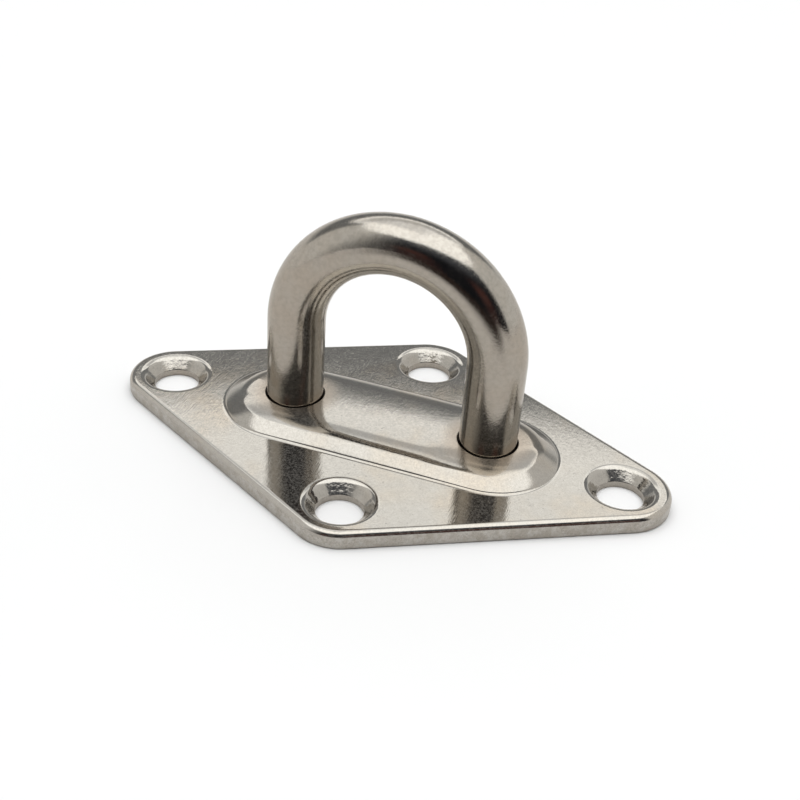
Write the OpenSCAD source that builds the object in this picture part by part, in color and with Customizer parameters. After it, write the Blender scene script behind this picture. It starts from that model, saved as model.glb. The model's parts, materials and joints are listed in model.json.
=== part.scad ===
// Diamond pad eye: a pressed plate with a raised pad, and a round bar bent into an eye.
// The bar's two legs pass down through the pad and are welded to it from beneath.
// Millimetres. The origin is the middle of the plate's underside, +Z is up, +X runs along the
// long diagonal and +Y along the short one. The underside is the plane z = 0.

/* [Plate] */
// Length over the long diagonal, between the two outermost corners
plate_length = 80; // [76:1:110]
// Width over the short diagonal
plate_width = 50; // [46:1:70]
// Thickness of the sheet that the plate is pressed from
plate_thickness = 2.5; // [2:0.1:3]
// Radius of all four corners, each centred on its screw hole
corner_radius = 6.75; // [6:0.25:8]
// Radius rolled onto the plate's top edge
edge_radius = 0.6; // [0.3:0.1:1]

/* [Screw holes] */
// Diameter of the straight part of each screw hole
screw_hole_diameter = 6.4; // [5.5:0.1:7]
// Diameter of each countersink's mouth, over its rolled lip
countersink_diameter = 9.8; // [9.2:0.1:10.6]
// Included angle of the countersinks
countersink_angle = 90; // [82:1:100]
// Radius rolled onto each countersink's mouth
lip_radius = 0.6; // [0.3:0.1:0.8]

/* [Raised pad] */
// Length of the pad along the long diagonal, at the crease where it leaves the plate
pad_length = 48.6; // [46:0.2:52]
// Width of the pad at the same crease
pad_width = 18.8; // [18:0.2:22]
// Height of the pad's flat top above the plate
pad_rise = 2.1; // [1.8:0.1:2.6]
// Horizontal distance from the crease in to the flat top
pad_shoulder = 2.6; // [2.4:0.1:3]
// Radius of the crown between the slope and the flat top
crown_radius = 1.2; // [0.6:0.1:1.4]

/* [Eye] */
// Diameter of the round bar
bar_diameter = 8; // [6:0.5:8]
// Clear width of the eye, between the legs
eye_width = 20.6; // [18:0.2:22]
// Height of the whole part, from the underside to the top of the eye
overall_height = 34.7; // [30:0.1:60]
// Gap all round each leg where it passes through the pad
leg_clearance = 0.2; // [0.1:0.05:0.3]
// Height of the legs' sawn ends above the underside
leg_end_height = 0.6; // [0.2:0.1:0.6]
// Chamfer round each sawn end
end_chamfer = 0.3; // [0.1:0.1:0.3]

/* [Welds] */
// Leg length of the ring weld round each leg, under the pad
weld_leg = 1.1; // [0.6:0.1:1.1]

/* [Hidden] */
$fn = 96;
// Facets of the plate's corners, which are stretched into triangles and so are kept few
corner_facets = 64;
roll_facets = 32;

// How far a cutting shape runs past the face that it opens
past = 1;
// A straight line that runs into an arc passes this far inside it, so that the two cross cleanly
bite = 0.005;

hole_x = plate_length / 2 - corner_radius;
hole_y = plate_width / 2 - corner_radius;

pad_top = plate_thickness + pad_rise;
pad_end_x = (pad_length - pad_width) / 2;
flat_half = pad_width / 2 - pad_shoulder;
// The slope is the line up from the crease that touches the crown's circle
crown_drop = pad_rise - crown_radius;
slope_angle = atan2(crown_drop, pad_shoulder) + asin(crown_radius / norm([pad_shoulder, crown_drop]));
// The sheet keeps its thickness, so the recess below has the same slope, moved in by it
recess_half = pad_width / 2 - plate_thickness * tan(slope_angle / 2);

hole_r = screw_hole_diameter / 2;
mouth_r = countersink_diameter / 2;
// Tilt of the countersink's cone from the horizontal
cone_tilt = 90 - countersink_angle / 2;
// The lip's circle cuts the plate's top plane at the mouth's radius, and the cone's line below it
lip_centre = [mouth_r + sqrt(bite * (2 * lip_radius - bite)), plate_thickness - lip_radius + bite];
cone_top_r = lip_centre[0] - (lip_radius - bite) * tan(cone_tilt / 2);
// Height of the straight part of the hole, from the underside up to the cone
land_height = plate_thickness - (cone_top_r - hole_r) * tan(cone_tilt);

bar_r = bar_diameter / 2;
leg_x = (eye_width + bar_diameter) / 2;
arch_height = overall_height - leg_x - bar_r;

// A point on a circle of radius r, at an angle from +X
function around(r, angle) = [r * cos(angle), r * sin(angle)];

// One corner of the plate: a disc round its screw hole, with the rolled top edge
module plate_corner() {
    inner = corner_radius - edge_radius;
    lower = plate_thickness - edge_radius;
    rotate_extrude($fn = corner_facets) {
        square([corner_radius, lower]);
        square([inner, plate_thickness]);
        translate([inner, lower]) intersection() {
            circle(edge_radius, $fn = roll_facets);
            square(edge_radius);
        }
    }
}

// The flat plate, stretched tight round its four corners
module flat_plate() {
    hull() for (side = [-1, 1]) {
        translate([side * hole_x, 0, 0]) plate_corner();
        translate([0, side * hole_y, 0]) plate_corner();
    }
}

// Half the section across the raised pad, from its middle line out to the crease
module pad_section() {
    crown = [flat_half, pad_top - crown_radius];
    buried = plate_thickness / 2;
    polygon([
        [0, buried],
        [pad_width / 2, buried],
        [pad_width / 2, plate_thickness],
        crown + around(crown_radius - bite, 90 - slope_angle),
        crown,
        [flat_half, pad_top],
        [0, pad_top]
    ]);
    translate(crown) intersection() {
        circle(crown_radius);
        square(crown_radius);
    }
}

// Half the section across the recess under the pad
module recess_section() {
    run_per_height = 1 / tan(slope_angle);
    polygon([
        [0, -past],
        [recess_half + past * run_per_height, -past],
        [recess_half - pad_rise * run_per_height, pad_rise],
        [0, pad_rise]
    ]);
}

// Sweeps a half section round the pad's long outline: two half turns and two straights
module round_pad() {
    for (turn = [0, 180]) rotate([0, 0, turn]) {
        translate([pad_end_x, 0, 0]) rotate([0, 0, -90]) rotate_extrude(angle = 180) children();
        translate([-pad_end_x, 0, 0]) rotate([90, 0, 90]) linear_extrude(2 * pad_end_x) children();
    }
}

// Section of the void of one countersunk hole, with the lip rolled into its mouth
module countersink_section() {
    above = plate_thickness + past;
    lip_start = lip_centre + around(lip_radius - bite / 2, 90 + cone_tilt);
    translate([0, -past]) square([hole_r, above]);
    polygon([
        [0, land_height],
        [hole_r, land_height],
        [cone_top_r, plate_thickness],
        [cone_top_r, above],
        [0, above]
    ]);
    difference() {
        translate(lip_start) square([lip_centre[0] - lip_start[0], above - lip_start[1]]);
        translate(lip_centre) circle(lip_radius);
    }
}

module countersunk_hole() {
    rotate_extrude() countersink_section();
}

module base_plate() {
    color([0.79, 0.78, 0.75])
    difference() {
        union() {
            flat_plate();
            round_pad() pad_section();
        }
        round_pad() recess_section();
        for (side = [-1, 1]) {
            translate([side * hole_x, 0, 0]) countersunk_hole();
            translate([0, side * hole_y, 0]) countersunk_hole();
            translate([side * leg_x, 0, 0]) cylinder(r = bar_r + leg_clearance, h = pad_top + past);
        }
    }
}

// One straight leg, drawn upwards from the plane where it runs into the arch
module eye_leg() {
    straight = arch_height - leg_end_height - end_chamfer;
    cylinder(r = bar_r, h = straight);
    translate([0, 0, straight])
        cylinder(r1 = bar_r, r2 = bar_r - end_chamfer, h = end_chamfer);
}

module eye_bar() {
    color([0.72, 0.68, 0.63]) translate([0, 0, arch_height]) {
        rotate([90, 0, 0])
            rotate_extrude(angle = 180) translate([leg_x, 0]) circle(bar_r);
        for (side = [-1, 1]) translate([side * leg_x, 0, 0]) mirror([0, 0, 1]) eye_leg();
    }
}

// Ring of weld between a leg and the underside of the pad, with a slightly full face
module weld_bead() {
    fullness = weld_leg / 2;
    rotate_extrude() intersection() {
        translate([bar_r, pad_rise - weld_leg]) square(weld_leg);
        translate([bar_r - fullness, pad_rise + fullness]) circle(norm([weld_leg + fullness, fullness]));
    }
}

module weld_bead_left() {
    color([0.60, 0.56, 0.50]) translate([-leg_x, 0, 0]) weld_bead();
}

module weld_bead_right() {
    color([0.60, 0.56, 0.50]) translate([leg_x, 0, 0]) weld_bead();
}

base_plate();
eye_bar();
weld_bead_left();
weld_bead_right();
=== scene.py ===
import json
import math

import bmesh
import bpy
from mathutils import Matrix, Vector
from mathutils.geometry import delaunay_2d_cdt


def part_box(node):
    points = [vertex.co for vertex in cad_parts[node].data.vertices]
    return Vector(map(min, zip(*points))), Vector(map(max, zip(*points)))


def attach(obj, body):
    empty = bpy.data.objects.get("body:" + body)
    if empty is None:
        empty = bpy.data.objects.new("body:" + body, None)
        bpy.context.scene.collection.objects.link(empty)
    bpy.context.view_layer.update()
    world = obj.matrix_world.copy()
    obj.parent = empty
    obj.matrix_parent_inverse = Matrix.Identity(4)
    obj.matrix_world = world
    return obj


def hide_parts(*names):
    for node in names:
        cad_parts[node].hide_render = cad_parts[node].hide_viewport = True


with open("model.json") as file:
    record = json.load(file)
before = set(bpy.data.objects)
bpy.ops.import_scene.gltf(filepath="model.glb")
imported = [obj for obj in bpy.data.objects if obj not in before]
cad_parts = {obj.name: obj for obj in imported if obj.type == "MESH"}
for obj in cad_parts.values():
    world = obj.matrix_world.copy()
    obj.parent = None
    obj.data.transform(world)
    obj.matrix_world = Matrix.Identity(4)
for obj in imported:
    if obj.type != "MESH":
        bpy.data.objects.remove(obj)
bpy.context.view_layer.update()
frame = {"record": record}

# Lengths in this script are millimetres until a mesh is made, and MM turns them into metres.
MM = 0.001
mounts = {mount["name"]: mount["dims"] for mount in frame["record"]["mounts"]}

# ---------------------------------------------------------------- sizes

_, plate_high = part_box("base_plate")
bar_low, bar_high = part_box("eye_bar")
_, bead_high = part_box("weld_bead_right")

PLATE_TOP = 2.5                                   # sheet thickness
PAD_TOP = plate_high.z / MM                       # top of the raised pad
LONG_HOLE = mounts["long_diagonal_screws"]["spacing_x_mm"] / 2
SHORT_HOLE = mounts["short_diagonal_screws"]["spacing_y_mm"] / 2
HOLE_RADIUS = mounts["long_diagonal_screws"]["hole_r_mm"]
CORNER_RADIUS = plate_high.x / MM - LONG_HOLE
BAR_RADIUS = bar_high.y / MM
LEG_X = bar_high.x / MM - BAR_RADIUS              # the legs stand at +LEG_X and -LEG_X
ARCH_Z = bar_high.z / MM - BAR_RADIUS - LEG_X     # height of the centre of the bend
LEG_END_Z = bar_low.z / MM
BEAD_RADIUS = bead_high.x / MM - LEG_X
CEILING_Z = bead_high.z / MM                      # roof of the recess under the pad

PAD_HALF_LENGTH = 14.9                            # centres of the pad's round ends
PAD_CREASE = 9.4                                  # radius of the crease round the pad's foot
RECESS_FOOT = 8.366                               # radius of the recess at the underside
RECESS_ROOF = 6.263                               # and where its wall meets its roof
RECESS_BENDS = (0.5, 0.7)                         # radii at its roof and at the underside
LEG_HOLE_RADIUS = 4.2
LEG_HOLE_EDGE = 0.1                               # radius on a leg hole's two edges
LEG_HOLE_RUN_ON = 0.06                            # flat strip round each of those edges
EDGE_RADIUS = 0.9                                 # rolled onto the plate's top edge
LOWER_EDGE_RADIUS = 0.3
LOWER_RUN_ON = 0.15                               # flat strip inside the lower edge
LIP_RADIUS = 1.15                                 # rolled onto the mouth of a screw hole
OUTLET_RADIUS = 0.15                              # on a screw hole's lower end
CONE_START_Z = 0.969                              # top of the straight wall of a screw hole
CONE_BEND = 0.12                                  # radius between that wall and the cone
RUN_ON = 0.12                                     # flat strip that ends a profile on the sheet's top
LIP_CENTRE = HOLE_RADIUS + PLATE_TOP - LIP_RADIUS - CONE_START_Z + LIP_RADIUS * math.sqrt(2)

# How finely the meshes are cut.
CORNER_STEPS = 28
SIDE_STEPS = 24
HOLE_STEPS = 144
CONE_STEPS = 14
LEG_HOLE_STEPS = 96
PAD_STEPS = 72


def clamped(value):
    return min(1.0, max(0.0, value))


def ramp(value, start, end):
    """A smooth step: 0 where the value is at the start, 1 where it is at the end."""
    share = clamped((value - start) / (end - start))
    return share * share * (3 - 2 * share)


# ---------------------------------------------------------------- profiles
# A profile is a list of (radius, z) points. It runs so that its outer side is on its right.


def arc(centre, radius, start, end, steps):
    """Points of a circle from the angle start to the angle end, in degrees."""
    points = []
    for i in range(steps + 1):
        angle = math.radians(start + (end - start) * i / steps)
        points.append((centre[0] + radius * math.cos(angle), centre[1] + radius * math.sin(angle)))
    return points


def round_corners(points, radii, steps):
    """The polyline with an arc of the given radius at each inner point."""
    result = [points[0]]
    for i in range(1, len(points) - 1):
        before, here, after = Vector(points[i - 1]), Vector(points[i]), Vector(points[i + 1])
        to_before = (before - here).normalized()
        to_after = (after - here).normalized()
        half_angle = to_before.angle(to_after) / 2
        reach = radii[i - 1] / math.tan(half_angle)
        start = here + to_before * reach
        end = here + to_after * reach
        centre = here + (to_before + to_after).normalized() * (radii[i - 1] / math.sin(half_angle))
        turn = (start - centre).angle_signed(end - centre)
        for k in range(steps + 1):
            arm = start - centre
            arm.rotate(Matrix.Rotation(-turn * k / steps, 2))
            result.append(tuple(centre + arm))
    result.append(points[-1])
    return result


def profile_normals(points):
    """Unit normals on the right side of the profile, one a point."""
    sides = []
    for (r0, z0), (r1, z1) in zip(points, points[1:]):
        length = math.hypot(r1 - r0, z1 - z0)
        sides.append(((z1 - z0) / length, (r0 - r1) / length))
    normals = [sides[0]]
    for a, b in zip(sides, sides[1:]):
        x, y = a[0] + b[0], a[1] + b[1]
        length = math.hypot(x, y)
        normals.append((x / length, y / length))
    normals.append(sides[-1])
    return normals


# ---------------------------------------------------------------- outlines
# An outline is a list of (centre x, centre y, direction x, direction y): at radius r its point is
# centre + r * direction. It runs anticlockwise seen from above.


def circle_outline(x, y, steps):
    outline = []
    for i in range(steps):
        angle = 2 * math.pi * i / steps
        outline.append((x, y, math.cos(angle), math.sin(angle)))
    return outline


def corner_outline(centres, steps, side_steps):
    """Discs at the centres joined by straight sides, with side_steps pieces a side."""
    outline = []
    count = len(centres)
    for i in range(count):
        previous, here, following = centres[i - 1], centres[i], centres[(i + 1) % count]
        arriving = math.atan2(here[1] - previous[1], here[0] - previous[0]) - math.pi / 2
        leaving = math.atan2(following[1] - here[1], following[0] - here[0]) - math.pi / 2
        turn = (leaving - arriving) % (2 * math.pi)
        for k in range(steps + 1):
            angle = arriving + turn * k / steps
            outline.append((here[0], here[1], math.cos(angle), math.sin(angle)))
        for k in range(1, side_steps):
            share = k / side_steps
            x = here[0] + (following[0] - here[0]) * share
            y = here[1] + (following[1] - here[1]) * share
            outline.append((x, y, math.cos(leaving), math.sin(leaving)))
    return outline


# ---------------------------------------------------------------- mesh builder

INSIDE_EDGES = 1                                  # output type of delaunay_2d_cdt
WELD_DISTANCE = 1e-6                              # mm, below which it joins two points
SLOPE_STEP = 0.01                                 # mm, over which Shell.lower measures a slope


class Shell:
    """Gathers the points, normals, faces and surface marks of one closed mesh."""

    def __init__(self):
        self.points = []
        self.normals = []
        self.faces = []
        self.local = []      # place relative to the axis of the screw hole, mm
        self.bore = []       # 1 on the machined faces of a screw hole
        self.polish_and_painted_highlight = []        # 1 on edges that tumbling and handling have polished, and which the colour lightens as a painted highlight

    def loop(self, outline, place, axis=None, bore=0.0, polish_and_painted_highlight=0.0):
        """Adds one loop. place(x, dx) is the radius, the z and the profile's normal there."""
        first = len(self.points)
        for x, y, dx, dy in outline:
            radius, z, normal = place(x, dx)
            point = Vector((x + radius * dx, y + radius * dy, z))
            self.points.append(point)
            self.normals.append(Vector((normal[0] * dx, normal[0] * dy, normal[1])))
            self.local.append(point - Vector((axis[0], axis[1], 0)) if axis else Vector((0, 0, 0)))
            self.bore.append(bore)
            self.polish_and_painted_highlight.append(polish_and_painted_highlight)
        return list(range(first, len(self.points)))

    def bridge(self, a, b):
        """Joins two loops with a band of quads."""
        count = len(a)
        for i in range(count):
            k = (i + 1) % count
            self.faces.append((a[i], a[k], b[k], b[i]))

    def sweep(self, outline, profile, other=None, share=None, axis=None, bore=None, polish_and_painted_highlight=None):
        """Sweeps the profile round the outline and returns its first and last loops. Where other
        is given, share(x, dx) is how far the profile has turned into it. bore(radius, z) and
        rub(radius, z) are the surface marks."""
        normals = profile_normals(profile)
        other_normals = profile_normals(other) if other else normals
        loops = []
        for i, (radius, z) in enumerate(profile):

            def place(x, dx):
                if not other:
                    return radius, z, normals[i]
                t = share(x, dx)
                mixed = [a + (b - a) * t for a, b in zip(normals[i], other_normals[i])]
                return radius + (other[i][0] - radius) * t, z + (other[i][1] - z) * t, mixed

            loops.append(self.loop(outline, place, axis,
                                   bore(radius, z) if bore else 0.0,
                                   polish_and_painted_highlight(radius, z) if polish_and_painted_highlight else 0.0))
        for a, b in zip(loops, loops[1:]):
            self.bridge(a, b)
        return loops[0], loops[-1]

    def fill(self, loops, up):
        """Fills the flat region inside the first loop and outside the others."""
        indices = []
        flat = []
        edges = []
        rings = []
        for loop in loops:
            start = len(indices)
            count = len(loop)
            ring = [self.points[i].xy for i in loop]
            indices += loop
            flat += ring
            rings.append(ring)
            edges += [(start + i, start + (i + 1) % count) for i in range(count)]
        _, _, triangles, origins, _, _ = delaunay_2d_cdt(flat, edges, [], INSIDE_EDGES, WELD_DISTANCE)
        for triangle in triangles:
            corners = [origins[k][0] for k in triangle]
            middle = (flat[corners[0]] + flat[corners[1]] + flat[corners[2]]) / 3
            if any(inside(middle, ring) for ring in rings[1:]):
                continue
            face = [indices[k] for k in corners]
            a, b, c = (self.points[k] for k in face)
            if ((b - a).cross(c - a).z > 0) != up:
                face.reverse()
            self.faces.append(tuple(face))

    def lower(self, fall):
        """Lowers each point by fall(x, y, z), and turns its normal to suit."""
        for i, point in enumerate(self.points):
            here = fall(point.x, point.y, point.z)
            slope_x = (fall(point.x + SLOPE_STEP, point.y, point.z) - here) / SLOPE_STEP
            slope_y = (fall(point.x, point.y + SLOPE_STEP, point.z) - here) / SLOPE_STEP
            normal = self.normals[i]
            self.normals[i] = Vector((normal.x + slope_x * normal.z,
                                      normal.y + slope_y * normal.z, normal.z))
            self.points[i] = Vector((point.x, point.y, point.z - here))

    def build(self, name):
        """Makes the piece, with its normals as given and its marks as attributes."""
        mesh = bpy.data.meshes.new(name)
        mesh.from_pydata([p * MM for p in self.points], [], self.faces)
        mesh.update()
        local = mesh.attributes.new("hole_local", "FLOAT_VECTOR", "POINT")
        local.data.foreach_set("vector", [c for v in self.local for c in v])
        for key, values in (("bore", self.bore), ("polish_and_painted_highlight", self.polish_and_painted_highlight)):
            mark = mesh.attributes.new(key, "FLOAT", "POINT")
            mark.data.foreach_set("value", values)
        mesh.shade_smooth()
        mesh.normals_split_custom_set_from_vertices([n.normalized() for n in self.normals])
        return link_piece(name, mesh)


def link_piece(name, mesh):
    piece = bpy.data.objects.new(name, mesh)
    bpy.context.scene.collection.objects.link(piece)
    return piece


def build_solid(name, points, faces, sharp_degrees):
    """Makes a piece from a closed mesh, smooth apart from edges that bend more than the angle."""
    mesh = bpy.data.meshes.new(name)
    mesh.from_pydata([p * MM for p in points], [], faces)
    mesh.update()
    bm = bmesh.new()
    bm.from_mesh(mesh)
    bmesh.ops.recalc_face_normals(bm, faces=bm.faces)
    bm.to_mesh(mesh)
    bm.free()
    mesh.shade_smooth()
    mesh.set_sharp_from_angle(angle=math.radians(sharp_degrees))
    return link_piece(name, mesh)


def inside(point, ring):
    """True if the point lies inside the closed ring."""
    odd = False
    for i in range(len(ring)):
        a, b = ring[i - 1], ring[i]
        if (a.y > point.y) != (b.y > point.y):
            if point.x < a.x + (point.y - a.y) / (b.y - a.y) * (b.x - a.x):
                odd = not odd
    return odd


# ---------------------------------------------------------------- the plate

HOLES = [(LONG_HOLE, 0), (0, SHORT_HOLE), (-LONG_HOLE, 0), (0, -SHORT_HOLE)]


def plate_edge_profile():
    """From the underside round the outer edge and onto the top."""
    lower = CORNER_RADIUS - LOWER_EDGE_RADIUS
    upper = CORNER_RADIUS - EDGE_RADIUS
    profile = [(lower - LOWER_RUN_ON, 0.0)]
    profile += arc((lower, LOWER_EDGE_RADIUS), LOWER_EDGE_RADIUS, -90, 0, 6)
    profile += arc((upper, PLATE_TOP - EDGE_RADIUS), EDGE_RADIUS, 0, 90, 12)
    profile += [(upper - RUN_ON, PLATE_TOP)]
    return profile


def screw_hole_profile():
    """From the top, over the lip, down the cone and the wall, onto the underside."""
    profile = [(LIP_CENTRE + RUN_ON, PLATE_TOP)]
    profile += arc((LIP_CENTRE, PLATE_TOP - LIP_RADIUS), LIP_RADIUS, 90, 135, 10)
    cone_top = profile.pop()
    cone_foot = (HOLE_RADIUS, CONE_START_Z)
    line = round_corners([cone_top, cone_foot, (HOLE_RADIUS, OUTLET_RADIUS)], [CONE_BEND], 5)
    start = Vector(line[0])
    end = Vector(line[1])
    for i in range(CONE_STEPS):
        profile.append(tuple(start.lerp(end, i / CONE_STEPS)))
    profile += line[1:-1]
    profile += arc((HOLE_RADIUS + OUTLET_RADIUS, OUTLET_RADIUS), OUTLET_RADIUS, 180, 270, 4)
    profile += [(HOLE_RADIUS + 2 * OUTLET_RADIUS, 0.0)]
    return profile


# The bends of the pad from its flat top outward: each (steps, tilt in degrees, radius) carries
# the surface on to that tilt.
SIDE_BENDS = [(6, 12.0, 8.0), (14, 26.0, 6.0), (6, 42.0, 1.3)]
END_BENDS = [(6, 12.0, 3.0), (14, 24.0, 3.5), (6, 33.0, 4.0)]
FOOT_STEEPER = 14.0                               # how much steeper the slope ends, degrees
FOOT_BEND = 0.25                                  # radius of that last bend
CREASE_BEND = 0.70                                # radius in the crease, where the pad meets the sheet
CREASE_FLAT = 0.15                                # flat strip of sheet outside the crease
PROFILE_REACH = PAD_CREASE + 0.45                 # radius at which that strip ends
MIX_START = 6.0                                   # x from which the sides' bends turn into the ends'


def pad_profile(bends):
    """From the sheet, through the crease, up the slope and over the bends onto the flat top."""
    point = Vector((0.0, PAD_TOP))
    profile = [tuple(point)]
    tilt = 0.0
    for steps, end_tilt, radius in bends:
        centre = point - Vector((math.sin(tilt), math.cos(tilt))) * radius
        start = tilt
        for k in range(1, steps + 1):
            tilt = start + (math.radians(end_tilt) - start) * k / steps
            point = centre + Vector((math.sin(tilt), math.cos(tilt))) * radius
            profile.append(tuple(point))
    end_tilt = tilt + math.radians(FOOT_STEEPER)
    foot_z = PLATE_TOP + CREASE_BEND * (1 - math.cos(end_tilt))
    foot_z += FOOT_BEND * (math.cos(tilt) - math.cos(end_tilt))
    foot = Vector((point.x + (point.y - foot_z) / math.tan(tilt), foot_z))
    for share in (0.3, 0.6, 0.85, 1.0):
        profile.append(tuple(point.lerp(foot, share)))
    centre = foot - Vector((math.sin(tilt), math.cos(tilt))) * FOOT_BEND
    start = 90 - math.degrees(tilt)
    profile += arc(tuple(centre), FOOT_BEND, start, start - FOOT_STEEPER, 3)[1:]
    centre = Vector(profile[-1]) + Vector((math.sin(end_tilt), math.cos(end_tilt))) * CREASE_BEND
    profile += arc(tuple(centre), CREASE_BEND, -90 - math.degrees(end_tilt), -90, 9)[1:]
    profile.append((profile[-1][0] + CREASE_FLAT, PLATE_TOP))
    shift = PROFILE_REACH - profile[-1][0]
    return [(radius + shift, z) for radius, z in reversed(profile)]


def end_share(x, dx):
    """0 at the middle of the pad's straight sides, half where they end, 1 at the tips."""
    return 0.5 * ramp(abs(x), MIX_START, PAD_HALF_LENGTH) + 0.5 * ramp(abs(dx), 0.0, 1.0)


PAD_LEAN = 0.003                                  # forward slope of the pad's top
CROWN_SAG = 0.28                                  # how far the crown has sunk before the legs
SAG_ALONG = (5.5, 12.5)                           # x over which the sag sets in, on both sides
SAG_FORWARD = (1.0, -3.0)                         # y over which it does
SAG_OUTWARD = (2.9, 6.1)                          # distance from the pad's spine over which it does
SLOPE_TAKES_UP = (9.2, 5.6)                       # distance over which the slope evens out the fall


def pad_fall(x, y, z):
    """How much lower the pad lies than its profile: it leans forward, and sags before the legs."""
    if z <= PLATE_TOP:
        return 0.0
    from_spine = math.hypot(max(0.0, abs(x) - PAD_HALF_LENGTH), y)
    before_leg = ramp(abs(x), *SAG_ALONG) * ramp(y, *SAG_FORWARD)
    sag = CROWN_SAG * ramp(from_spine, *SAG_OUTWARD) * before_leg
    lean = PAD_LEAN * (PAD_CREASE - y)
    return (sag + lean) * ramp(from_spine, *SLOPE_TAKES_UP)


def leg_hole_profile():
    """From the pad's top into the clearance hole and onto the roof of the recess."""
    centre = LEG_HOLE_RADIUS + LEG_HOLE_EDGE
    profile = [(centre + LEG_HOLE_RUN_ON, PAD_TOP)]
    profile += arc((centre, PAD_TOP - LEG_HOLE_EDGE), LEG_HOLE_EDGE, 90, 180, 6)
    profile += arc((centre, CEILING_Z + LEG_HOLE_EDGE), LEG_HOLE_EDGE, 180, 270, 3)
    profile += [(centre + LEG_HOLE_RUN_ON, CEILING_Z)]
    return profile


def recess_profile():
    """From the roof of the recess down its wall and onto the underside."""
    line = [(RECESS_ROOF - 0.5, CEILING_Z), (RECESS_ROOF, CEILING_Z),
            (RECESS_FOOT, 0.0), (RECESS_FOOT + 0.8, 0.0)]
    return round_corners(line, RECESS_BENDS, 6)


# Surface marks: a number from 0 to 1 for each point of a profile.
MARK_RAMP = 0.3                                   # height over which a rolled edge's mark sets in
LIP_MARK_Z = 1.9
EDGE_MARK_Z = 1.7


def bore_mark(radius, z):
    """1 on the machined cone and wall of a screw hole, 0 on the lip and the underside."""
    cone_top = PLATE_TOP - LIP_RADIUS + LIP_RADIUS * math.sin(math.radians(135))
    return clamped((cone_top + 0.02 - z) / 0.05) if z > 0.01 else 0.0


def rolled_mark(z, start_z):
    """1 on a rolled edge, from a little above start_z up to the flat top."""
    return clamped((z - start_z) / MARK_RAMP) if z < PLATE_TOP - 0.001 else 0.0


def lip_mark(radius, z):
    """1 on the rounded lip of a screw hole."""
    return rolled_mark(z, LIP_MARK_Z)


def edge_mark(radius, z):
    """1 where the plate's edge rolls over onto the top."""
    return rolled_mark(z, EDGE_MARK_Z)


def crease_mark(radius, z):
    """1 along the crease at the foot of the pad, where a painted highlight line lightens the sheet and
    its roughness is a little lower.
    """
    return 1.0 if z < PLATE_TOP + 0.06 and radius < PAD_CREASE + 0.4 else 0.0


def make_plate():
    shell = Shell()
    outline = corner_outline(HOLES, CORNER_STEPS, SIDE_STEPS)
    under_edge, top_edge = shell.sweep(outline, plate_edge_profile(), polish_and_painted_highlight=edge_mark)
    top_loops = [top_edge]
    under_loops = [under_edge]
    for x, y in HOLES:
        mouth, outlet = shell.sweep(circle_outline(x, y, HOLE_STEPS), screw_hole_profile(),
                                    axis=(x, y), bore=bore_mark, polish_and_painted_highlight=lip_mark)
        top_loops.append(mouth)
        under_loops.append(outlet)
    ends = [(PAD_HALF_LENGTH, 0), (-PAD_HALF_LENGTH, 0)]
    stadium = corner_outline(ends, PAD_STEPS, SIDE_STEPS)
    crease, pad_flat = shell.sweep(stadium, pad_profile(SIDE_BENDS),
                                   other=pad_profile(END_BENDS), share=end_share, polish_and_painted_highlight=crease_mark)
    top_loops.append(crease)
    roof, recess_rim = shell.sweep(stadium, recess_profile())
    under_loops.append(recess_rim)
    pad_loops = [pad_flat]
    roof_loops = [roof]
    for x in (LEG_X, -LEG_X):
        upper, lower = shell.sweep(circle_outline(x, 0, LEG_HOLE_STEPS), leg_hole_profile())
        pad_loops.append(upper)
        roof_loops.append(lower)
    shell.fill(top_loops, True)
    shell.fill(pad_loops, True)
    shell.fill(roof_loops, False)
    shell.fill(under_loops, False)
    shell.lower(pad_fall)
    return shell.build("stamped_plate")


# ---------------------------------------------------------------- the bent bar

BAR_CHAMFER = 0.3                                 # round each sawn end
BAR_SEGMENTS = 96                                 # round the bar
LEG_STEPS = 24                                    # along each leg
BEND_STEPS = 160                                  # along the bend
BAR_SHARP = 30                                    # degrees, above which an edge is left sharp


def bar_path():
    """Centre points and unit directions of the bar from the left end to the right end."""
    path = []
    straight = ARCH_Z - LEG_END_Z
    levels = [0, BAR_CHAMFER * 0.5, BAR_CHAMFER, BAR_CHAMFER + 0.15]
    levels += [straight * k / LEG_STEPS for k in range(1, LEG_STEPS)]
    for level in levels:
        path.append(((-LEG_X, LEG_END_Z + level), (0.0, 1.0)))
    for k in range(BEND_STEPS + 1):
        angle = math.pi - math.pi * k / BEND_STEPS
        point = (LEG_X * math.cos(angle), ARCH_Z + LEG_X * math.sin(angle))
        path.append((point, (math.sin(angle), -math.cos(angle))))
    for level in reversed(levels):
        path.append(((LEG_X, LEG_END_Z + level), (0.0, -1.0)))
    return path


def make_bar():
    points = []
    faces = []
    path = bar_path()
    for (x, z), (along_x, along_z) in path:
        radius = BAR_RADIUS - max(0.0, BAR_CHAMFER - (z - LEG_END_Z))
        side = Vector((-along_z, 0, along_x))
        for i in range(BAR_SEGMENTS):
            angle = 2 * math.pi * i / BAR_SEGMENTS
            out = side * math.cos(angle) + Vector((0, 1, 0)) * math.sin(angle)
            points.append(Vector((x, 0, z)) + out * radius)
    last = (len(path) - 1) * BAR_SEGMENTS
    for a in range(0, last, BAR_SEGMENTS):
        b = a + BAR_SEGMENTS
        for i in range(BAR_SEGMENTS):
            k = (i + 1) % BAR_SEGMENTS
            faces.append((a + i, a + k, b + k, b + i))
    faces.append(tuple(reversed(range(BAR_SEGMENTS))))
    faces.append(tuple(range(last, last + BAR_SEGMENTS)))
    return build_solid("bent_bar", points, faces, BAR_SHARP)


# ---------------------------------------------------------------- the weld beads

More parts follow.
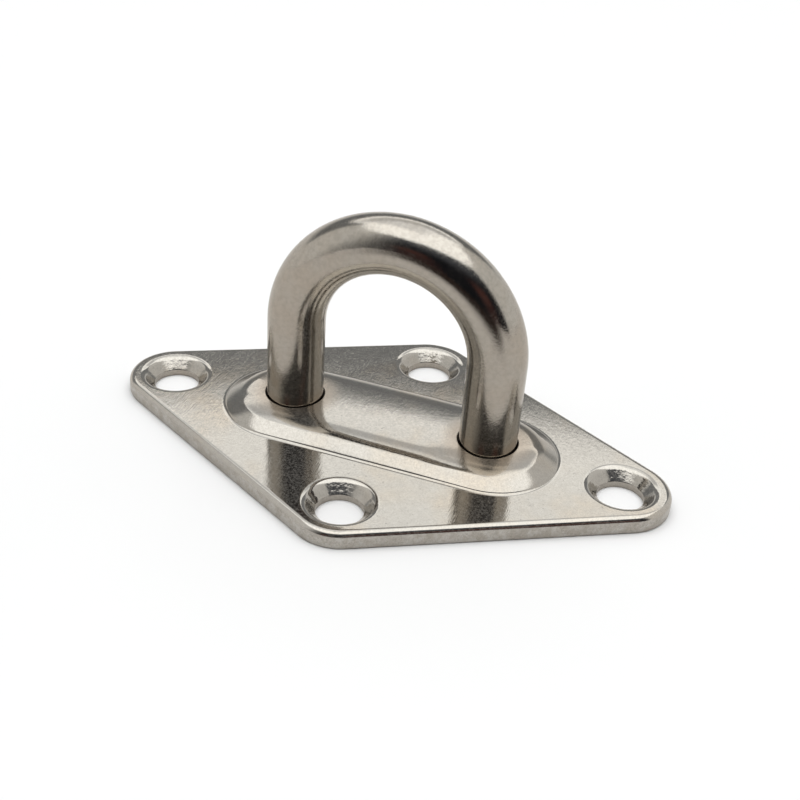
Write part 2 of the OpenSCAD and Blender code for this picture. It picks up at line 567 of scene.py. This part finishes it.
RIPPLES = 26                                      # round one bead
RIPPLE_STEPS = 12                                 # along each ripple
RIPPLE_DEPTH = 0.16                               # as a share of the bead's leg length
WANDER = 0.05                                     # slow change of size round the bead, likewise
FULLNESS = 0.1                                    # how far its face bulges, likewise
FACE_STEPS = 14                                   # across the bead's face
FACE_POWER = 0.85                                 # below 1, so that the face is fuller than an ellipse
BEAD_ROOT = BAR_RADIUS - 0.05                     # the bead's section starts just inside the leg
BEAD_SHARP = 50                                   # degrees, above which an edge is left sharp


def bead_size(turn, phase):
    """Leg length of the bead, as a share of the greatest, at a turn from 0 to 1 round it."""
    ripple = (RIPPLES * turn + phase) % 1.0
    return 1.0 - RIPPLE_DEPTH * ripple ** 1.5 - WANDER * math.sin(6 * math.pi * turn + phase * 9)


def make_bead(name, x, phase):
    """A ring of overlapping ripples in the corner between the leg and the roof of the recess."""
    around = RIPPLES * RIPPLE_STEPS
    leg = BEAD_RADIUS - BAR_RADIUS
    points = []
    faces = []
    for i in range(around):
        angle = 2 * math.pi * i / around
        size = leg * bead_size(i / around, phase)
        ring = [(BEAD_ROOT, CEILING_Z)]
        for k in range(FACE_STEPS + 1):
            turn = math.pi / 2 * k / FACE_STEPS
            bulge = 1.0 + FULLNESS * math.sin(2 * turn)
            reach_out = size * math.cos(turn) ** FACE_POWER * bulge
            reach_down = size * math.sin(turn) ** FACE_POWER * bulge
            ring.append((BAR_RADIUS + min(reach_out, leg), CEILING_Z - min(reach_down, leg)))
        ring.append((BEAD_ROOT, CEILING_Z - size))
        for radius, z in ring:
            points.append(Vector((x + radius * math.cos(angle), radius * math.sin(angle), z)))
    width = FACE_STEPS + 3
    for i in range(around):
        k = (i + 1) % around
        for j in range(width):
            n = (j + 1) % width
            faces.append((i * width + j, i * width + n, k * width + n, k * width + j))
    return build_solid(name, points, faces, BEAD_SHARP)


# ---------------------------------------------------------------- node helpers


class Nodes:
    """Short ways to add nodes to one node tree."""

    def __init__(self, tree):
        self.tree = tree
        tree.nodes.clear()

    def add(self, kind, inputs=None, **settings):
        """Adds a node. Each input is a value, or another node's output to link to."""
        made = self.tree.nodes.new(kind)
        for key, value in settings.items():
            setattr(made, key, value)
        for key, value in (inputs or {}).items():
            socket = made.inputs[key]
            if isinstance(value, bpy.types.NodeSocket):
                self.tree.links.new(value, socket)
            else:
                socket.default_value = value
        return made

    def math(self, operation, a, b=0.0):
        return self.add("ShaderNodeMath", {0: a, 1: b}, operation=operation).outputs[0]

    def weighted(self, *terms):
        """The sum of each term's value times its weight."""
        total = None
        for value, weight in terms:
            term = self.math("MULTIPLY", value, weight)
            total = term if total is None else self.math("ADD", total, term)
        return total

    def length(self, a, b):
        """The length of the vector (a, b)."""
        return self.math("SQRT", self.math("ADD", self.math("POWER", a, 2.0),
                                           self.math("POWER", b, 2.0)))

    def smooth(self, value, low, high, to_low=0.0, to_high=1.0):
        """A smooth step, from to_low where the value is low to to_high where it is high."""
        made = self.add("ShaderNodeMapRange",
                        {"Value": value, "From Min": low, "From Max": high,
                         "To Min": to_low, "To Max": to_high},
                        interpolation_type="SMOOTHSTEP")
        return made.outputs["Result"]

    def mix(self, factor, a, b):
        """A colour, from a where the factor is 0 to b where it is 1."""
        return self.add("ShaderNodeMix", {0: factor, 6: a, 7: b}, data_type="RGBA").outputs[2]

    def noise(self, vector, scale, detail=3.0, roughness=0.6):
        """Noise with about scale features a metre."""
        return self.add("ShaderNodeTexNoise", {"Vector": vector, "Scale": scale, "Detail": detail,
                                               "Roughness": roughness}).outputs["Fac"]

    def place(self):
        return self.add("ShaderNodeTexCoord").outputs["Object"]

    def mark(self, name):
        """A number that the mesh carries at each point."""
        return self.add("ShaderNodeAttribute", attribute_name=name).outputs["Fac"]

    def degrees_round(self, x, y):
        """The azimuth of the direction (x, y): 0 towards +Y and 90 towards +X."""
        return self.math("DEGREES", self.math("ARCTAN2", x, y))

    def turned_from(self, azimuth, centre):
        """How far an azimuth is turned from the centre, from -180 to 180 degrees."""
        turned = self.math("WRAP", self.math("SUBTRACT", azimuth, centre), 180.0)
        turned.node.inputs[2].default_value = -180.0
        return turned

    def away(self, azimuth, centre):
        """How far an azimuth is from the centre either way, from 0 to 180 degrees."""
        return self.math("ABSOLUTE", self.turned_from(azimuth, centre))

    def metal(self, colour, metallic, rough, relief):
        """Ends a metal's tree. The relief is in millimetres."""
        bump = self.add("ShaderNodeBump", {"Height": relief, "Strength": 1.0, "Distance": MM})
        shader = self.add("ShaderNodeBsdfPrincipled",
                          {"Base Color": colour, "Metallic": metallic, "Roughness": rough,
                           "Normal": bump.outputs["Normal"]})
        self.add("ShaderNodeOutputMaterial", {"Surface": shader.outputs[0]})


def new_material(name):
    material = bpy.data.materials.new(name)
    material.use_nodes = True
    return material, Nodes(material.node_tree)


# ---------------------------------------------------------------- metal
# Noise lies between about 0.3 and 0.7, so the smooth steps below run over that range.

HEAT_REACH = 7.4                                  # radius of the heat tint round a leg
GRAIN_TURN = math.radians(-17.0)                  # the sheet's faint grain, off the short diagonal
GRAIN_SCALE = (9000.0, 700.0, 5000.0)             # across the grain, along it, and through the sheet
CUTTER_RINGS = 46.0                               # radians a millimetre
CUTTER_WAVES = 13.0
CHATTER_MARKS = 34.0                              # in one turn of the cutter


def cutter_relief(n, place):
    """The rings and chatter that the cutter has left in a screw hole."""
    local = n.add("ShaderNodeAttribute", attribute_name="hole_local").outputs["Vector"]
    x, y, _ = n.add("ShaderNodeSeparateXYZ", {0: local}).outputs
    radius = n.length(x, y)
    angle = n.math("ARCTAN2", y, x)
    rings = n.math("SINE", n.math("MULTIPLY", radius, CUTTER_RINGS))
    waves = n.math("SINE", n.math("MULTIPLY", radius, CUTTER_WAVES))
    chatter = n.math("SINE", n.math("MULTIPLY", angle, CHATTER_MARKS))
    torn = n.noise(place, 1700.0, 2.0)
    return n.weighted((rings, 0.0006), (waves, 0.0012), (chatter, 0.0011), (torn, 0.024))


def satin_steel():
    """The tumbled sheet: a fine orange peel, small pits, faint warm stains, machined screw holes."""
    material, n = new_material("satin_stainless")
    place = n.place()
    x, y, _ = n.add("ShaderNodeSeparateXYZ", {0: place}).outputs
    bore = n.mark("bore")
    polish_and_painted_highlight = n.mark("polish_and_painted_highlight")
    sheet = n.math("SUBTRACT", 1.0, bore)

    # Colour: neutral steel with faint straw-coloured patches, dark grains and small pits.
    warm = n.smooth(n.noise(place, 90.0), 0.45, 0.72)
    colour = n.mix(warm, (0.460, 0.437, 0.401, 1), (0.470, 0.418, 0.352, 1))
    fine = n.smooth(n.noise(place, 1400.0), 0.35, 0.70, 0.0, 0.34)
    colour = n.mix(fine, colour, (0.345, 0.327, 0.300, 1))
    pit = n.smooth(n.noise(place, 2300.0, 1.0, 0.5), 0.70, 0.78)
    colour = n.mix(n.math("MULTIPLY", pit, 0.2), colour, (0.20, 0.19, 0.18, 1))
    speckles = n.smooth(n.noise(place, 3800.0, 3.0, 0.65), 0.30, 0.70, 0.0, 0.22)
    colour = n.mix(speckles, colour, (0.290, 0.272, 0.248, 1))

    # Heat from the welds beneath has left a duller, straw-brown ring round each leg.
    beside = n.math("SUBTRACT", n.math("ABSOLUTE", x), LEG_X * MM)
    heat = n.smooth(n.length(beside, y), HEAT_REACH * MM, LEG_HOLE_RADIUS * MM)
    colour = n.mix(n.math("MULTIPLY", heat, 0.8), colour, (0.440, 0.375, 0.310, 1))
    # Painted highlight: the rolled edges, the screw holes' lips and the crease are painted lighter,
    # standing in for the bright lines that light draws along them. Their polish is real and only
    # lowers the roughness below.
    colour = n.mix(n.math("MULTIPLY", polish_and_painted_highlight, 0.35), colour, (0.570, 0.545, 0.505, 1))

    # The sheared side of the sheet: duller and mottled.
    normal = n.add("ShaderNodeNewGeometry").outputs["Normal"]
    normal_z = n.add("ShaderNodeSeparateXYZ", {0: normal}).outputs[2]
    side = n.math("MULTIPLY", n.smooth(n.math("ABSOLUTE", normal_z), 0.55, 0.15), sheet)
    mottle = n.smooth(n.noise(place, 700.0, 4.0, 0.65), 0.35, 0.65)
    colour = n.mix(side, colour, n.mix(mottle, (0.42, 0.40, 0.365, 1), (0.535, 0.525, 0.50, 1)))

    # Roughness, and a veil that lets a little less metal show in places.
    cloud = n.smooth(n.noise(place, 320.0), 0.3, 0.7, 0.04, 0.065)
    frost = n.smooth(n.noise(place, 3300.0, 3.0, 0.65), 0.36, 0.74, 0.0, 0.07)
    rough = n.weighted((cloud, 1.0), (pit, 0.12), (polish_and_painted_highlight, -0.03), (side, 0.12), (heat, 0.10),
                       (frost, sheet))
    metallic = n.smooth(n.noise(place, 3100.0, 3.0, 0.65), 0.34, 0.70, 0.98, 0.80)

    # Relief: grain, orange peel and slow waves on the sheet, and the cutter's marks in the holes.
    turned = n.add("ShaderNodeMapping", {"Vector": place, "Rotation": (0.0, 0.0, GRAIN_TURN),
                                         "Scale": GRAIN_SCALE}).outputs[0]
    lines = n.noise(turned, 1.0, 1.0, 0.5)
    grain = n.noise(place, 4200.0, 2.0)
    peel = n.noise(place, 1700.0, 2.0, 0.5)
    wave = n.noise(place, 110.0, 1.0, 0.5)
    rolled = n.weighted((grain, 0.0014), (lines, 0.0045), (peel, 0.0024), (wave, 0.010))
    relief = n.weighted((rolled, sheet), (pit, -0.0012), (cutter_relief(n, place), bore))
    n.metal(colour, metallic, rough, relief)
    return material


def polished_steel():
    """The bar: polished, then tumbled with the plate, so its reflections have a soft grainy edge."""
    material, n = new_material("polished_stainless")
    place = n.place()
    warm = n.smooth(n.noise(place, 130.0), 0.4, 0.75)
    colour = n.mix(warm, (0.450, 0.422, 0.380, 1), (0.450, 0.405, 0.350, 1))
    fine = n.smooth(n.noise(place, 1500.0), 0.35, 0.70, 0.0, 0.45)
    colour = n.mix(fine, colour, (0.335, 0.310, 0.275, 1))
    cloud = n.smooth(n.noise(place, 500.0), 0.3, 0.7, 0.11, 0.15)
    frost = n.smooth(n.noise(place, 3300.0, 3.0, 0.65), 0.40, 0.72, 0.0, 0.10)
    grain = n.noise(place, 4200.0, 2.0)
    wave = n.noise(place, 420.0, 2.0, 0.5)
    wobble = n.noise(place, 150.0, 1.0, 0.5)
    relief = n.weighted((grain, 0.0085), (wave, 0.011), (wobble, 0.060))
    n.metal(colour, 1.0, n.math("ADD", cloud, frost), relief)
    return material


def weld_steel():
    """The weld: duller, with straw and blue heat colours."""
    material, n = new_material("weld_metal")
    place = n.place()
    patches = n.noise(place, 420.0)
    colour = n.mix(n.smooth(patches, 0.40, 0.55), (0.46, 0.40, 0.31, 1), (0.33, 0.31, 0.34, 1))
    colour = n.mix(n.smooth(patches, 0.56, 0.68), colour, (0.22, 0.25, 0.36, 1))
    fine = n.noise(place, 2200.0)
    n.metal(colour, 1.0, n.smooth(fine, 0.3, 0.7, 0.26, 0.42), n.math("MULTIPLY", fine, 0.006))
    return material


# ---------------------------------------------------------------- pieces


def finish_piece(piece, material, node):
    """Gives a piece its material, hangs it on the root body, and hides the CAD node that it stands
    for.
    """
    piece.data.materials.append(material)
    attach(piece, "root")
    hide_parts(node)


finish_piece(make_plate(), satin_steel(), "base_plate")
finish_piece(make_bar(), polished_steel(), "eye_bar")
weld_material = weld_steel()
finish_piece(make_bead("rippled_bead_left", -LEG_X, 0.3), weld_material,
             "weld_bead_left")
finish_piece(make_bead("rippled_bead_right", LEG_X, 0.7), weld_material,
             "weld_bead_right")


# ---------------------------------------------------------------- floor
# The camera sees a plain pale floor. The metal mirrors a darker, warmer copy of it, which is painted
# shade, and far out towards the tent's open side a painted shadow, nearly black.

FLOOR_HALF = 2.0                                  # metres
FLOOR_SEEN = (0.86, 0.86, 0.87, 1)
# Painted shade: the floor as the metal mirrors it, a darker copy of the floor that the camera sees.
FLOOR_MIRRORED_SHADED = (0.695, 0.670, 0.647, 1)
# Painted shadow: the mirrored floor far out towards the open side.
FLOOR_PAINTED_SHADOW = (0.03, 0.02, 0.017, 1)
UNLIT_AZIMUTH = 166.0                             # middle of the unlit sector
UNLIT_HALF_WIDTH = (44.0, 22.0)                   # degrees aside over which the dark sets in
UNLIT_REACH = (50.0, 140.0)                       # distance over which it does


def floor_material():
    material, n = new_material("pale_floor")
    place = n.place()
    x, y, _ = n.add("ShaderNodeSeparateXYZ", {0: place}).outputs
    distance = n.add("ShaderNodeVectorMath", {0: place}, operation="LENGTH").outputs["Value"]
    aside = n.away(n.degrees_round(x, y), UNLIT_AZIMUTH)
    near, far = UNLIT_REACH
    # Where the painted shadow darkens the mirrored floor: away from the object, towards the open side.
    painted_shadow = n.math("MULTIPLY", n.smooth(aside, *UNLIT_HALF_WIDTH),
                   n.smooth(distance, near * MM, far * MM))
    seen = n.add("ShaderNodeLightPath").outputs["Is Camera Ray"]
    shown = n.mix(seen, n.mix(painted_shadow, FLOOR_MIRRORED_SHADED, FLOOR_PAINTED_SHADOW), FLOOR_SEEN)
    shader = n.add("ShaderNodeBsdfPrincipled", {"Base Color": shown, "Roughness": 1.0,
                                                "Specular IOR Level": 0.0})
    n.add("ShaderNodeOutputMaterial", {"Surface": shader.outputs[0]})
    return material


def make_floor():
    mesh = bpy.data.meshes.new("floor")
    corners = [(-FLOOR_HALF, -FLOOR_HALF, 0), (FLOOR_HALF, -FLOOR_HALF, 0),
               (FLOOR_HALF, FLOOR_HALF, 0), (-FLOOR_HALF, FLOOR_HALF, 0)]
    mesh.from_pydata(corners, [], [(0, 1, 2, 3)])
    mesh.materials.append(floor_material())
    return link_piece("floor", mesh)


floor = make_floor()

# ---------------------------------------------------------------- studio light
# A white tent with one open side, as a colour for each direction. Azimuth 0 is +Y and 90 is +X,
# and elevation is above the horizon. All angles are in degrees. The camera doesn't see the tent:
# only the metal mirrors it.

SIDE_WALL = (0.84, 0.83, 0.80, 1)
BACK_WALL = (0.58, 0.59, 0.585, 1)
WALL_BAND = (0.235, 0.243, 0.25, 1)
ROOF_BRIGHT = (1.98, 1.99, 1.96, 1)
ROOF_DIM = (1.34, 1.36, 1.36, 1)
ROOF_MID = (0.84, 0.85, 0.85, 1)
ROOF_STRIP = (1.55, 1.56, 1.53, 1)
ROOF_RIM = (1.68, 1.68, 1.64, 1)
OPENING_LOW = (0.012, 0.013, 0.016, 1)
OPENING_HIGH = (0.085, 0.092, 0.105, 1)
OPENING_BROWN = (0.13, 0.052, 0.040, 1)
OPENING_AZIMUTH = 153.0                           # middle of the open side
BACKDROP = (0.95, 0.95, 0.95, 1)                  # what the camera sees beyond the floor


def tent_walls(n, azimuth, elevation):
    """Pale walls, with a darker band behind the object."""
    wall = n.mix(n.smooth(n.away(azimuth, -14.0), 34.0, 46.0), BACK_WALL, SIDE_WALL)
    band = n.math("MULTIPLY", n.smooth(n.away(azimuth, -27.0), 57.0, 46.0),
                  n.smooth(elevation, 5.0, 16.0))
    wall = n.mix(band, wall, WALL_BAND)
    return n.mix(n.smooth(elevation, 16.0, -2.0), wall, SIDE_WALL)


def tent_roof(n, azimuth, elevation, walls):
    """A bright roof over the walls. Behind the object it comes down lower, to a bright rim."""
    roof = n.mix(n.smooth(n.away(azimuth, -30.0), 55.0, 25.0), ROOF_BRIGHT, ROOF_DIM)
    behind = n.smooth(n.away(azimuth, -18.0), 52.0, 32.0)
    middle = n.math("MULTIPLY", behind, n.smooth(elevation, 60.0, 52.0))
    roof = n.mix(middle, roof, ROOF_MID)
    strip = n.math("MULTIPLY", behind, n.smooth(elevation, 45.0, 39.0))
    roof = n.mix(strip, roof, ROOF_STRIP)

    aside = n.away(azimuth, -20.0)
    tilt = n.math("MULTIPLY", n.math("ADD", azimuth, 18.0), 0.02)
    edge = n.math("ADD", n.smooth(aside, 32.0, 62.0, 33.35, 52.0),
                  n.math("MULTIPLY", tilt, behind))
    above = n.math("SUBTRACT", elevation, edge)
    roof = n.mix(n.math("MULTIPLY", behind, n.smooth(above, 4.0, 1.5)), roof, ROOF_RIM)
    blur = n.smooth(aside, 32.0, 62.0, 0.3, 3.5)
    return n.mix(n.smooth(n.math("DIVIDE", above, blur), -1.0, 1.0), walls, roof)


def tent_opening(n, azimuth, elevation, tent):
    """The dark open side that the camera looks in through, with two brown shapes in it."""
    turned = n.turned_from(azimuth, OPENING_AZIMUTH)
    width = n.math("MULTIPLY", n.smooth(turned, -56.0, -43.0), n.smooth(turned, 84.0, 38.0))
    lift = n.smooth(n.away(azimuth, 155.0), 42.0, 20.0, 0.0, 5.0)
    height = n.smooth(n.math("SUBTRACT", elevation, lift), 55.0, 47.0)
    left = n.math("MULTIPLY", n.smooth(n.away(azimuth, 136.0), 15.0, 4.0),
                  n.smooth(elevation, 34.0, 18.0))
    right = n.math("MULTIPLY", n.smooth(n.away(azimuth, 188.0), 12.0, 3.0),
                   n.smooth(elevation, 30.0, 15.0))
    brown = n.math("MULTIPLY", n.math("MAXIMUM", left, right),
                   n.smooth(elevation, 12.0, 20.0, 0.35, 1.0))
    dark = n.mix(n.smooth(elevation, 28.0, 48.0), OPENING_LOW, OPENING_HIGH)
    dark = n.mix(brown, dark, OPENING_BROWN)
    return n.mix(n.math("MULTIPLY", width, height), tent, dark)


def make_studio():
    world = bpy.data.worlds.new("studio")
    bpy.context.scene.world = world
    world.use_nodes = True
    n = Nodes(world.node_tree)
    direction = n.add("ShaderNodeTexCoord").outputs["Generated"]
    x, y, z = n.add("ShaderNodeSeparateXYZ", {0: direction}).outputs
    elevation = n.math("DEGREES", n.math("ARCSINE", z))
    azimuth = n.degrees_round(x, y)
    tent = tent_walls(n, azimuth, elevation)
    tent = tent_roof(n, azimuth, elevation, tent)
    tent = tent_opening(n, azimuth, elevation, tent)
    seen = n.add("ShaderNodeLightPath").outputs["Is Camera Ray"]
    background = n.add("ShaderNodeBackground", {"Color": n.mix(seen, tent, BACKDROP),
                                                "Strength": 1.0})
    n.add("ShaderNodeOutputWorld", {"Surface": background.outputs[0]})


make_studio()

LAMP_SIZE = 1.4                                   # metres
LAMP_HEIGHT = 1.2
LAMP_POWER = 3.0                                  # watts


def make_overhead():
    """A broad soft light over the floor. Metal doesn't mirror it: its light is for the floor."""
    data = bpy.data.lights.new("overhead", "AREA")
    data.shape = "DISK"
    data.size = LAMP_SIZE
    data.energy = LAMP_POWER
    lamp = bpy.data.objects.new("overhead", data)
    lamp.location = (0.0, 0.0, LAMP_HEIGHT)
    lamp.visible_glossy = False
    bpy.context.scene.collection.objects.link(lamp)


make_overhead()

# ---------------------------------------------------------------- camera

CAMERA_AZIMUTH = 17.2                             # degrees round from the front, towards +X
CAMERA_ELEVATION = 33.3
CAMERA_ROLL = 4.4
CAMERA_DISTANCE = 167.9                           # mm from the point that it looks at
CAMERA_TARGET = Vector((1.61, -0.82, 8.0))
CAMERA_LENS = 55.17
SENSOR_WIDTH = 36.0
CLIP_START = 0.005                                # metres
CLIP_END = 10.0


def make_camera():
    azimuth = math.radians(CAMERA_AZIMUTH)
    elevation = math.radians(CAMERA_ELEVATION)
    roll = math.radians(CAMERA_ROLL)
    back = Vector((math.sin(azimuth) * math.cos(elevation),
                   -math.cos(azimuth) * math.cos(elevation),
                   math.sin(elevation)))
    right = Vector((0, 0, 1)).cross(back).normalized()
    up = back.cross(right)
    turned_right = right * math.cos(roll) + up * math.sin(roll)
    turned_up = up * math.cos(roll) - right * math.sin(roll)
    data = bpy.data.cameras.new("camera")
    data.sensor_width = SENSOR_WIDTH
    data.lens = CAMERA_LENS
    data.clip_start = CLIP_START
    data.clip_end = CLIP_END
    camera = bpy.data.objects.new("camera", data)
    bpy.context.scene.collection.objects.link(camera)
    axes = Matrix((turned_right, turned_up, back)).transposed().to_4x4()
    centre = (CAMERA_TARGET + back * CAMERA_DISTANCE) * MM
    camera.matrix_world = Matrix.Translation(centre) @ axes
    bpy.context.scene.camera = camera


make_camera()
bpy.context.scene.view_settings.view_transform = "Standard"
bpy.context.scene.view_settings.look = "None"
